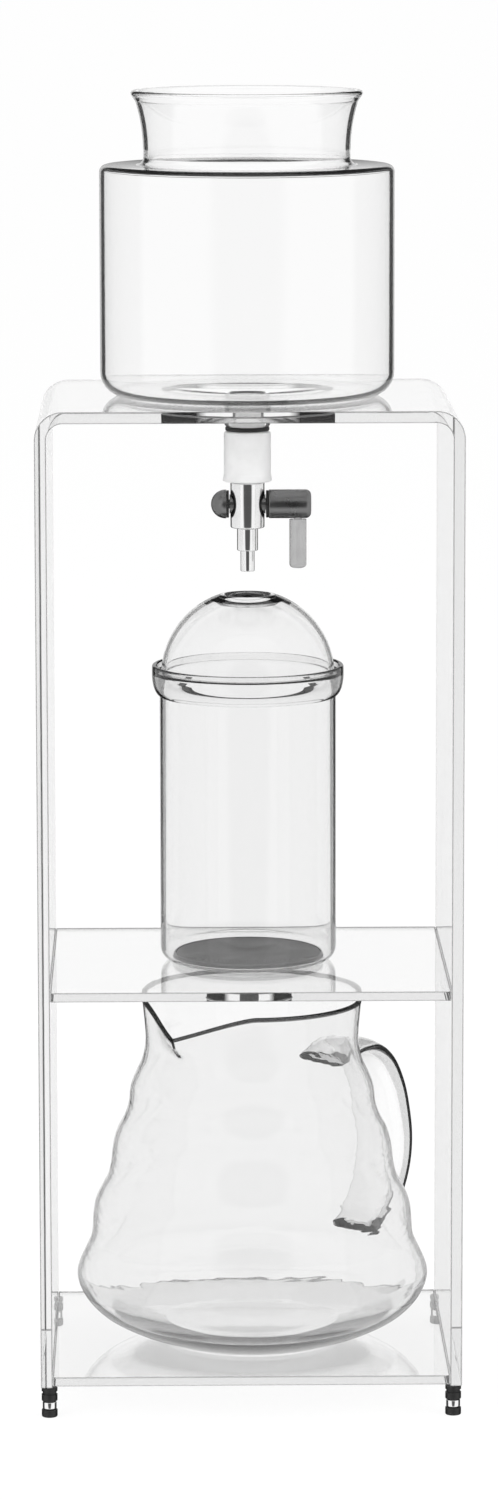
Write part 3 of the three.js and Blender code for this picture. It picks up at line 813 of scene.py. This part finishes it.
def make_stand(acrylic, panel, rear, soft_rear, bevel, wall):
    skins = (acrylic, wall, soft_rear, bevel, panel)
    outline, under = arch_outline()
    arch = prism("arch", outline, -STAND_DEPTH / 2, STAND_DEPTH / 2, "Y")
    arch = bevelled(drilled(arch, TOP_HOLE, under, PLATE_TOP), EDGE_BEVEL)
    # Rear faces, rounded edges, side panels and the hole wall get skins with their own painted shade.
    zones = ((REAR_SKIN, is_rear), (BEVEL_SKIN, is_bevel), (PANEL_SKIN, is_side),
             (HOLE_SKIN, on_wall(TOP_HOLE)))
    for index, chosen in zones:
        paint_faces(arch, index, chosen)
    add_piece("arch_sheet", arch, skins, "stand", "acrylic", "stand_arch")
    half_width = STAND_WIDTH / 2 - PANEL - GLUE_GAP
    half_depth = STAND_DEPTH / 2
    plate = [(-half_width, -half_depth), (half_width, -half_depth),
             (half_width, half_depth), (-half_width, half_depth)]
    shelves = (("mid_shelf", MID_SHELF_TOP - SHELF, MID_HOLE, rear),
               ("base_shelf", BASE_SHELF_BOTTOM, 0, soft_rear))
    for name, bottom, hole, rear_skin in shelves:
        sheet = prism(name, plate, bottom, bottom + SHELF, "Z")
        if hole:
            sheet = drilled(sheet, hole, bottom, bottom + SHELF)
        sheet = bevelled(sheet, EDGE_BEVEL)
        paint_faces(sheet, REAR_SKIN, is_rear)
        paint_faces(sheet, BEVEL_SKIN, is_shelf_bevel)
        if hole:
            paint_faces(sheet, HOLE_SKIN, on_wall(hole))
        add_piece(name + "_sheet", sheet, (acrylic, wall, rear_skin, bevel), "stand", "acrylic",
                  name)


def foot_outlines():
    flange = PAD_HEIGHT + SEAT_GAP
    flange_top = flange + FLANGE_HEIGHT
    collar = flange_top + SEAT_GAP
    collar_top = FOOT_HEIGHT - SEAT_GAP
    groove_top = collar_top - GROOVE_DROP
    groove = groove_top - GROOVE_HEIGHT
    waist = FOOT_RADIUS - GROOVE_DEPTH
    pin_top = FOOT_HEIGHT - PIN_HEADROOM
    pad = [(0, 0), (FOOT_RADIUS, 0, 0.6), (FOOT_RADIUS, PAD_HEIGHT, 0.4),
           (FOOT_HOLE, PAD_HEIGHT), (FOOT_HOLE, PAD_FLOOR), (0, PAD_FLOOR)]
    pin = [(0, PAD_FLOOR + SEAT_GAP), (PIN_RADIUS, PAD_FLOOR + SEAT_GAP), (PIN_RADIUS, flange),
           (FLANGE_RADIUS, flange, 0.45), (FLANGE_RADIUS, flange_top, 0.45),
           (PIN_RADIUS, flange_top), (PIN_RADIUS, pin_top, 0.3), (0, pin_top)]
    collar_ring = [(FOOT_HOLE, collar), (FOOT_RADIUS, collar, 0.35), (FOOT_RADIUS, groove, 0.15),
                   (waist, groove), (waist, groove_top), (FOOT_RADIUS, groove_top, 0.15),
                   (FOOT_RADIUS, collar_top, 0.3), (FOOT_HOLE, collar_top)]
    return (("foot_pad", rounded(pad, False), "black_rubber"),
            ("foot_pin", rounded(pin, False), "steel"),
            ("foot_collar", rounded(collar_ring), "black_rubber"))


def make_feet(black, steel):
    materials = {"black_rubber": black, "steel": steel}
    foot_x = STAND_WIDTH / 2 - FOOT_RADIUS - FOOT_INSET
    foot_y = STAND_DEPTH / 2 - FOOT_RADIUS - FOOT_INSET
    for end, side_y in (("front", -1), ("rear", 1)):
        for side, side_x in (("left", -1), ("right", 1)):
            for name, outline, slot in foot_outlines():
                node_name = f"{name}_{end}_{side}"
                mesh = turned(node_name, outline, FOOT_STEPS, (side_x * foot_x, side_y * foot_y, 0))
                add_piece(f"fine_{node_name}", mesh, (materials[slot],), "stand", slot, node_name)


# Glass vessels
def vessel_outline():
    rim = VESSEL_BODY + NECK_HEIGHT
    bead = (RIM_RADIUS - RIM_BEAD, rim - RIM_BEAD)
    neck = bow((NECK_RADIUS, VESSEL_BODY + NECK_FILLET),
               (NECK_RADIUS, VESSEL_BODY + NECK_BOW_HEIGHT), (bead[0], bead[1] - RIM_BEAD))
    inner_neck = offset(neck, WALL)[::-1]
    inner = VESSEL_RADIUS - WALL
    ceiling = VESSEL_BODY - WALL
    return rounded([
        (OUTLET_RADIUS, -OUTLET_DROP, 0.7), (OUTLET_RADIUS, -FUNNEL_DROP, OUTLET_FILLET),
        (FUNNEL_RADIUS, 0, FUNNEL_FILLET), (VESSEL_RADIUS, 0, VESSEL_CORNER),
        (VESSEL_RADIUS, VESSEL_BODY, SHOULDER), (NECK_RADIUS, VESSEL_BODY, NECK_FILLET),
        *neck[1:-2], *arc(bead, RIM_BEAD, -50, 180, 18), *inner_neck[2:-1],
        (NECK_RADIUS - WALL, ceiling, NECK_FILLET + WALL), (inner, ceiling, SHOULDER - WALL),
        (inner, WALL, VESSEL_CORNER - WALL), (FUNNEL_RADIUS, WALL, FUNNEL_FILLET),
        (OUTLET_BORE, WALL - FUNNEL_DROP, OUTLET_FILLET), (OUTLET_BORE, -OUTLET_DROP, 0.7),
    ])


def chamber_outline():
    inner = CHAMBER_RADIUS - WALL
    lip = LEDGE_HEIGHT + LIP_HEIGHT
    lip_inner = COLLAR_RADIUS - WALL
    return rounded([
        (CHAMBER_OUTLET, -CHAMBER_OUTLET_DROP, 0.6), (CHAMBER_OUTLET, 0, 1.2),
        (CHAMBER_RADIUS, 0, CHAMBER_CORNER),
        *bow((CHAMBER_RADIUS, CHAMBER_NECK),
             (COLLAR_RADIUS - COLLAR_BULGE_INSET, CHAMBER_NECK + COLLAR_BULGE_START),
             (COLLAR_RADIUS, CHAMBER_NECK + COLLAR_BULGE_HEIGHT)),
        (COLLAR_RADIUS, lip, LIP_ROUNDING), (lip_inner, lip, LIP_ROUNDING),
        (lip_inner, LEDGE_HEIGHT, 0.8), (inner, LEDGE_HEIGHT, 1.2),
        (inner, CHAMBER_FLOOR, CHAMBER_CORNER - WALL), (CHAMBER_BORE, CHAMBER_FLOOR, 0.8),
        (CHAMBER_BORE, -CHAMBER_OUTLET_DROP, 0.6),
    ])


def dome_outline():
    def sphere(radius, start, end):
        return arc((0, -DOME_RISE), radius, start, end, 40)

    def foot(radius):
        return math.degrees(math.asin(DOME_RISE / radius))

    def top(radius):
        return math.degrees(math.acos(DOME_END / radius))

    inner = DOME_RADIUS - WALL
    bead = (DOME_HOLE + DOME_BEAD, DOME_BEAD_LIFT)
    return [*sphere(DOME_RADIUS, foot(DOME_RADIUS), top(DOME_RADIUS)),
            *arc(bead, DOME_BEAD, 50, 280, 26), *sphere(inner, top(inner), foot(inner))]


def carafe_wall():
    return spline([(r * CARAFE_RADIUS, h * CARAFE_HEIGHT) for r, h in CARAFE_OUTLINE],
                  CARAFE_WALL_STEPS)


def carafe_outline():
    outer = carafe_wall()
    inner = [spot for spot in offset(outer, WALL)[::-1] if spot[1] > CARAFE_HEEL]
    top = outer.pop()
    inner.pop(0)
    rim = arc((top[0] - WALL / 2, CARAFE_HEIGHT - WALL / 2), WALL / 2, 0, 180, 12)
    return [(0, 0), *outer, *rim, *inner,
            (CARAFE_FLOOR_RADIUS, CARAFE_FLOOR), (0, CARAFE_FLOOR)]


def shape_spout(mesh):
    """Pulls the rim down and out to a pouring lip at -X, fading below the neck."""
    start = SPOUT_START * CARAFE_HEIGHT
    for vertex in mesh.vertices:
        x, y, z = vertex.co / MM
        angle = math.degrees(math.atan2(abs(y), -x))
        t = min(max((z - start) / (CARAFE_HEIGHT - start), 0), 1)
        rise = t * t * (3 - 2 * t)
        near = max(1 - angle / SPOUT_HALF_ANGLE, 0)
        pull = SPOUT_REACH * near ** 2 - SPOUT_PINCH * math.sin(math.pi * near)
        radius = math.hypot(x, y)
        stretch = 1 + rise * pull / radius if radius > TINY else 1
        drop = rise * SPOUT_DIP * near ** SPOUT_SHARPNESS
        vertex.co = Vector((x * stretch, y * stretch, z - drop)) * MM


def handle_strap():
    """An oval section carried along the handle's line."""
    line = spline([(r * CARAFE_RADIUS, h * CARAFE_HEIGHT) for r, h in HANDLE_LINE], HANDLE_STEPS)
    maker = bmesh.new()
    rings = []
    for i, (x, z) in enumerate(line):
        before, after = line[max(i - 1, 0)], line[min(i + 1, len(line) - 1)]
        run = Vector((after[0] - before[0], after[1] - before[1])).normalized()
        ring = []
        for k in range(HANDLE_SIDES):
            angle = 2 * math.pi * k / HANDLE_SIDES
            across = HANDLE_WIDTH / 2 * math.cos(angle)
            out = HANDLE_THICKNESS / 2 * math.sin(angle)
            ring.append(maker.verts.new(Vector((x - out * run.y, across, z + out * run.x)) * MM))
        rings.append(ring)
    for low, high in zip(rings, rings[1:]):
        for k in range(HANDLE_SIDES):
            j = (k + 1) % HANDLE_SIDES
            maker.faces.new((low[k], low[j], high[j], high[k]))
    maker.faces.new(rings[0])
    maker.faces.new(rings[-1])
    return finished_mesh("handle", maker, HANDLE_CREASE)


def spout_drop(x, y):
    """How far the pouring lip pulls the rim down there."""
    angle = math.degrees(math.atan2(abs(y), -x))
    return SPOUT_DIP * max(1 - angle / SPOUT_HALF_ANGLE, 0) ** SPOUT_SHARPNESS


def is_rim(centre, _):
    return centre.z > CARAFE_HEIGHT - spout_drop(centre.x, centre.y) - RIM_ZONE


def is_base(centre, _):
    return centre.z < BASE_ZONE


def is_heel(centre, _):
    return BASE_ZONE <= centre.z < HEEL_ZONE


def paint_handle(mesh):
    """Tells the strap from its two parts that get skins of painted dark shade: the narrow edges,
    and the roots at the wall.
    """
    wall = carafe_wall()
    for face in mesh.polygons:
        x, y, z = face.center / MM
        near = min(wall, key=lambda spot: abs(spot[1] - z))
        stand_off = math.hypot(x, y) - near[0]
        if x > 0 and abs(y) < HANDLE_WIDTH / 2 and stand_off > HANDLE_STAND_OFF:
            if abs(face.normal.y) > HANDLE_EDGE_NORMAL:
                face.material_index = STRAP_EDGE_SKIN
            else:
                is_root = stand_off < HANDLE_ROOT
                face.material_index = ROOT_SKIN if is_root else STRAP_SKIN


def make_carafe(*skins):
    """Skins: wall, handle, the handle's edges, rim, base, heel and the handle's roots."""
    body = turned("carafe_glass", carafe_outline())
    shape_spout(body)
    skin = offset(carafe_wall(), WALL / 2)
    core = turned("core", [(0, 0), *skin, (0, CARAFE_HEIGHT)])
    handle = combined(handle_strap(), core, "DIFFERENCE", HANDLE_CREASE)
    mesh = combined(body, handle, "UNION", HANDLE_CREASE)
    # The rim, base and heel get skins with their own strength of painted shade; the rim's is nearly
    # black.
    paint_faces(mesh, RIM_SKIN, is_rim)
    paint_faces(mesh, BASE_SKIN, is_base)
    paint_faces(mesh, HEEL_SKIN, is_heel)
    paint_handle(mesh)
    mesh.transform(Matrix.Translation(Vector((*CARAFE_PLACE, CARAFE_BASE)) * MM)
                   @ Matrix.Rotation(math.radians(HANDLE_ANGLE), 4, "Z"))
    add_piece("carafe_glass", mesh, skins, "server", "glass", "carafe")


def make_vessels(glass, soft_glass, chamber_glass, collar_glass, dome_glass, bead_glass):
    vessel = turned("vessel", vessel_outline(), place=(0, 0, VESSEL_BASE), sharp=GLASS_CREASE)
    neck = VESSEL_BASE + VESSEL_BODY
    rim = neck + NECK_HEIGHT - RIM_BEAD * 2
    # The second skins are the same glass with a different strength of painted shade at the flanks.
    paint_faces(vessel, SECOND_SKIN, lambda centre, _: neck < centre.z < neck + NECK_FILLET)
    paint_faces(vessel, SECOND_SKIN, lambda centre, _: centre.z > rim)
    add_piece("vessel_glass", vessel, (glass, soft_glass), "vessel", "glass", "water_vessel")
    chamber = turned("chamber", chamber_outline(), place=(0, 0, CHAMBER_BASE), sharp=GLASS_CREASE)
    paint_faces(chamber, SECOND_SKIN, lambda centre, _: centre.z > CHAMBER_BASE + CHAMBER_NECK)
    add_piece("chamber_glass", chamber, (chamber_glass, collar_glass), "chamber", "glass",
              "coffee_chamber")
    dome = turned("dome", dome_outline(), place=(0, 0, DOME_BASE), sharp=GLASS_CREASE)
    paint_faces(dome, SECOND_SKIN, lambda centre, _: centre.z > DOME_BASE + DOME_BEAD_LIFT - DOME_BEAD)
    add_piece("dome_glass", dome, (dome_glass, bead_glass), "lid", "glass", "dome_lid")


# Fittings
def make_drip_column(black, silicone_skin, steel):
    ring = rounded([(OUTLET_BORE, 0, 0.3), (RING_RADIUS, 0, 0.6), (RING_RADIUS, RING_HEIGHT, 0.6),
                    (OUTLET_BORE, RING_HEIGHT, 0.3)])
    add_piece("seal_ring", turned("ring", ring, FITTING_STEPS, (0, 0, RING_BASE)), (black,),
              "vessel", "black_rubber", "outlet_ring")
    sleeve = rounded([
        (SLEEVE_BORE, 0, 0.4), (SLEEVE_FOOT, 0, 0.7), (SLEEVE_RADIUS, SLEEVE_FLARE, 3),
        (SLEEVE_RADIUS, SLEEVE_HEIGHT, 1), (SLEEVE_PLUG, SLEEVE_HEIGHT),
        (SLEEVE_PLUG, SLEEVE_HEIGHT + SLEEVE_PLUG_HEIGHT, 0.6),
        (SLEEVE_BORE, SLEEVE_HEIGHT + SLEEVE_PLUG_HEIGHT, 0.4)])
    mesh = turned("sleeve", sleeve, FITTING_STEPS, (0, 0, SLEEVE_TOP - SLEEVE_HEIGHT))
    add_piece("soft_sleeve", mesh, (silicone_skin,), "vessel", "silicone", "silicone_sleeve")
    body = rounded([
        (SOCKET_RADIUS, 0, 0.2), (VALVE_RADIUS, 0, 0.7), (VALVE_RADIUS, VALVE_HEIGHT, 0.7),
        (SPIGOT_RADIUS, VALVE_HEIGHT), (SPIGOT_RADIUS, VALVE_HEIGHT + SPIGOT_HEIGHT, 0.4),
        (WATER_BORE, VALVE_HEIGHT + SPIGOT_HEIGHT, 0.2), (WATER_BORE, SOCKET_HEIGHT),
        (SOCKET_RADIUS, SOCKET_HEIGHT)])
    barrel = turned("barrel", body, FITTING_STEPS, (0, 0, VALVE_BASE))
    bore = turned("bore", [(0, -VALVE_RADIUS - 1), (CROSS_BORE, -VALVE_RADIUS - 1),
                           (CROSS_BORE, VALVE_RADIUS + 1), (0, VALVE_RADIUS + 1)],
                  FITTING_STEPS, (0, 0, PLUG_AXIS), along_x=True)
    add_piece("tap_barrel", combined(barrel, bore, "DIFFERENCE"), (steel,), "vessel", "steel",
              "valve_body")
    nozzle = rounded([
        (NOZZLE_BORE, 0, 0.2), (NOZZLE_TIP_RADIUS, 0, 0.45), (NOZZLE_TIP_RADIUS, NOZZLE_TIP),
        (NOZZLE_STEP_RADIUS, NOZZLE_TIP, 0.5), (NOZZLE_STEP_RADIUS, NOZZLE_STEP_TOP, 0.3),
        (NOZZLE_SPIGOT_RADIUS, NOZZLE_STEP_TOP), (NOZZLE_SPIGOT_RADIUS, NOZZLE_SPIGOT_TOP, 0.2),
        (NOZZLE_BORE, NOZZLE_SPIGOT_TOP, 0.2)])
    mesh = turned("nozzle", nozzle, FITTING_STEPS, (0, 0, NOZZLE_BASE))
    add_piece("tap_nozzle", mesh, (steel,), "vessel", "steel", "drip_nozzle")


def make_stopcock(black, hub_metal, lever_skin):
    axis = (0, 0, PLUG_AXIS)
    dome_start = NUT_START + NUT_COLLAR
    dome = arc((0, dome_start), NUT_RADIUS, 0, 90, BOW_STEPS)[:-1]
    nut = rounded([(0, NUT_BORE_END), (NUT_BORE, NUT_BORE_END), (NUT_BORE, NUT_START, 0.2),
                   (NUT_RADIUS, NUT_START, 0.2), *dome, (0, dome_start + NUT_RADIUS)], False)
    mirrored = [(radius, -along) for radius, along in nut]
    add_piece("tap_nut", turned("nut", mirrored, FITTING_STEPS, axis, True), (hub_metal,),
              "stopcock", "dark_steel", "plug_nut")
    washers = ((NUT_BORE, -1, "tap_nut_washer", "nut_washer"),
               (HUB_BORE, 1, "tap_hub_washer", "hub_washer"))
    for bore, side, name, replaced in washers:
        end = NUT_START - WASHER_GAP
        outline = rounded([(bore, WASHER_START), (WASHER_RADIUS, WASHER_START, 0.25),
                           (WASHER_RADIUS, end, 0.25), (bore, end)])
        ring = turned(name, [(radius, along * side) for radius, along in outline], FITTING_STEPS,
                      axis, True)
        add_piece(name, ring, (black,), "stopcock", "black_rubber", replaced)
    hub = rounded([(0, HUB_BORE_END), (HUB_BORE, HUB_BORE_END), (HUB_BORE, NUT_START, 0.2),
                   (HUB_RADIUS, NUT_START, 0.5), (HUB_RADIUS, HUB_END, HUB_ROUNDING),
                   (0, HUB_END)], False)
    barrel = turned("hub", hub, FITTING_STEPS, axis, True)
    hole_radius = LEVER_STUD + SEAT_GAP
    socket = turned("socket", [
        (0, -HUB_RADIUS - 1), (hole_radius, -HUB_RADIUS - 1),
        (hole_radius, SEAT_GAP - LEVER_STUD_TOP), (0, SEAT_GAP - LEVER_STUD_TOP)],
        FITTING_STEPS, (LEVER_OFFSET, 0, PLUG_AXIS))
    add_piece("tap_hub", combined(barrel, socket, "DIFFERENCE"), (hub_metal,), "stopcock",
              "dark_steel", "lever_hub")
    lever = rounded([
        (0, -LEVER_REACH), (LEVER_RADIUS, -LEVER_REACH, LEVER_ROUNDING),
        (LEVER_RADIUS, -HUB_RADIUS - SEAT_GAP, 0.4), (LEVER_STUD, -HUB_RADIUS - SEAT_GAP),
        (LEVER_STUD, -LEVER_STUD_TOP, 0.2), (0, -LEVER_STUD_TOP)], False)
    mesh = turned("lever", lever, FITTING_STEPS, (LEVER_OFFSET, 0, PLUG_AXIS))
    add_piece("tap_lever", mesh, (lever_skin,), "stopcock", "lever_plastic", "lever_rod")


def make_filter(black, rim_metal, weave):
    seal = rounded([(SEAL_BORE, 0, 0.2), (SEAL_RADIUS, 0, 0.3), (SEAL_RADIUS, SEAL_HEIGHT, 0.3),
                    (SEAL_BORE, SEAL_HEIGHT, 0.2)])
    add_piece("chamber_seal", turned("seal", seal, FITTING_STEPS, (0, 0, SEAL_BASE)), (black,),
              "chamber", "black_rubber", "outlet_seal")
    rim = rounded([
        (FILTER_INNER, 0, 0.2), (FILTER_RADIUS, 0, 0.4),
        (FILTER_TOP_RADIUS, FILTER_RIM_HEIGHT, 0.4), (FILTER_REBATE, FILTER_RIM_HEIGHT, 0.1),
        (FILTER_REBATE, FILTER_STEP), (FILTER_INNER, FILTER_STEP, 0.1)])
    add_piece("filter_ring", turned("rim", rim, TURN_STEPS, (0, 0, FILTER_BASE)), (rim_metal,),
              "chamber", "dark_steel", "filter_rim")
    disc = rounded([(0, MESH_BOTTOM), (MESH_RADIUS, MESH_BOTTOM, 0.2), (MESH_RADIUS, MESH_TOP, 0.2),
                    (0, MESH_TOP)], False)
    add_piece("filter_cloth", turned("cloth", disc, TURN_STEPS, (0, 0, FILTER_BASE)), (weave,),
              "chamber", "mesh_steel", "filter_mesh")


make_camera()
bpy.context.scene.view_settings.view_transform = "Standard"
make_world()
make_floor()
make_lamp("lamp_left", (-1.6, -1.5, 1.3), (0.9, 1.5), 26)
make_lamp("lamp_right", (1.7, -1.2, 1.1), (0.9, 1.5), 20)
make_lamp("lamp_top", (0.1, 0.3, 2.3), (1.4, 1.4), 16)

# Glass and acrylic skins below mix a dark colour in by a Fresnel share: painted reflection of the dark
# room, and with least a share of that painted shade everywhere. The rim, handle edges and handle roots
# are painted nearly black this way, the acrylic bevels half dark, and the rear edges dark.
vessel_skin = clear_solid("vessel_glass", GLASS_IOR, grey(0.985), grey(0.02), 0.55, 0.98, 0.88, 0.05)
soft_skin = clear_solid("soft_glass", GLASS_IOR, grey(0.985), grey(0.05), 0.7, 1, 0.45, 0.05)
chamber_skin = clear_solid("chamber_glass", GLASS_IOR, grey(0.93), grey(0.03), 0.5, 0.98, 0.6, 0.05)
collar_skin = clear_solid(
    "collar_glass", GLASS_IOR, grey(0.94), grey(0.01), 0.25, 0.9, 0.97, 0.05, least=0.03)
dome_skin = clear_solid("dome_glass", GLASS_IOR, grey(0.95), grey(0.05), 0.6, 1, 0.42, 0.05)
bead_skin = clear_solid("bead_glass", GLASS_IOR, grey(0.95), grey(0.01), 0.4, 0.95, 0.92, 0.05)
carafe_skin = clear_solid(
    "carafe_glass", GLASS_IOR, grey(0.92), grey(0.03), 0.64, 1, 0.36, 0.15, stretch=(1, 1, 4))
heel_skin = clear_solid("heel_glass", GLASS_IOR, grey(0.93), grey(0.02), 0.5, 0.98, 0.8, 0.05)
base_skin = clear_solid("base_glass", GLASS_IOR, grey(0.95), grey(0.1), 0.6, 1, 0.25, 0.05)
rim_skin = clear_solid("rim_glass", GLASS_IOR, grey(0.9), grey(0.01), 0.1, 0.6, 0.97, 0.05, least=0.7)
handle_skin = clear_solid("handle_glass", GLASS_IOR, grey(0.96), grey(0.05), 0.7, 1, 0.16, 0.03, 0.9)
handle_edge = clear_solid(
    "handle_edge", GLASS_IOR, grey(0.9), grey(0.01), 0.1, 0.8, 0.97, 0.03, least=0.85)
root_skin = clear_solid("root_glass", GLASS_IOR, grey(0.9), grey(0.005), 0.1, 0.8, 0.98, 0.03)
clear_acrylic = clear_solid(
    "clear_acrylic", ACRYLIC_IOR, grey(0.97), grey(0.3), 0.5, 1, 0.05, 0.02, 0.93, 0.04)
panel_acrylic = clear_solid(
    "panel_acrylic", ACRYLIC_IOR, grey(0.96), grey(0.3), 0.5, 1, 0.14, 0.02, 0.93, 0.1)
acrylic_rear = clear_solid(
    "acrylic_rear_edge", ACRYLIC_IOR, grey(0.95), grey(0.03), 0.2, 0.9, 1, 0.05, 0.9, 0.05)
soft_rear = clear_solid(
    "acrylic_soft_edge", ACRYLIC_IOR, grey(0.95), grey(0.2), 0.2, 0.9, 0.6, 0.05, 0.9, 0.05)
acrylic_bevel = clear_solid(
    "acrylic_bevel", ACRYLIC_IOR, grey(0.9), grey(0.12), 0.1, 0.9, 0.9, 0.05, 0.9, 0.5)
acrylic_hole = hole_wall("acrylic_hole_wall", ACRYLIC_IOR)
polished = metal("polished_steel", 0.96, 0.06, 0.06, 2400, 0.15)
satin = metal("satin_steel", 0.22, 0.25, 0.12, 1800, 0.4)
filter_metal = metal("filter_rim_steel", 0.25, 0.4, 0.15, 1500, 0.4)
cloth = woven_steel("woven_steel")
black_rubber = rubber("black_rubber", 0.006)
milky = silicone("milky_silicone")
lever_clear = lever_plastic("lever_plastic")

make_stand(clear_acrylic, panel_acrylic, acrylic_rear, soft_rear, acrylic_bevel, acrylic_hole)
make_feet(black_rubber, polished)
make_vessels(vessel_skin, soft_skin, chamber_skin, collar_skin, dome_skin, bead_skin)
make_carafe(carafe_skin, handle_skin, handle_edge, rim_skin, base_skin, heel_skin, root_skin)
make_drip_column(black_rubber, milky, polished)
make_stopcock(black_rubber, satin, lever_clear)
make_filter(black_rubber, filter_metal, cloth)

for plug_slot in bpy.data.objects["valve_plug"].material_slots:
    plug_slot.material = satin
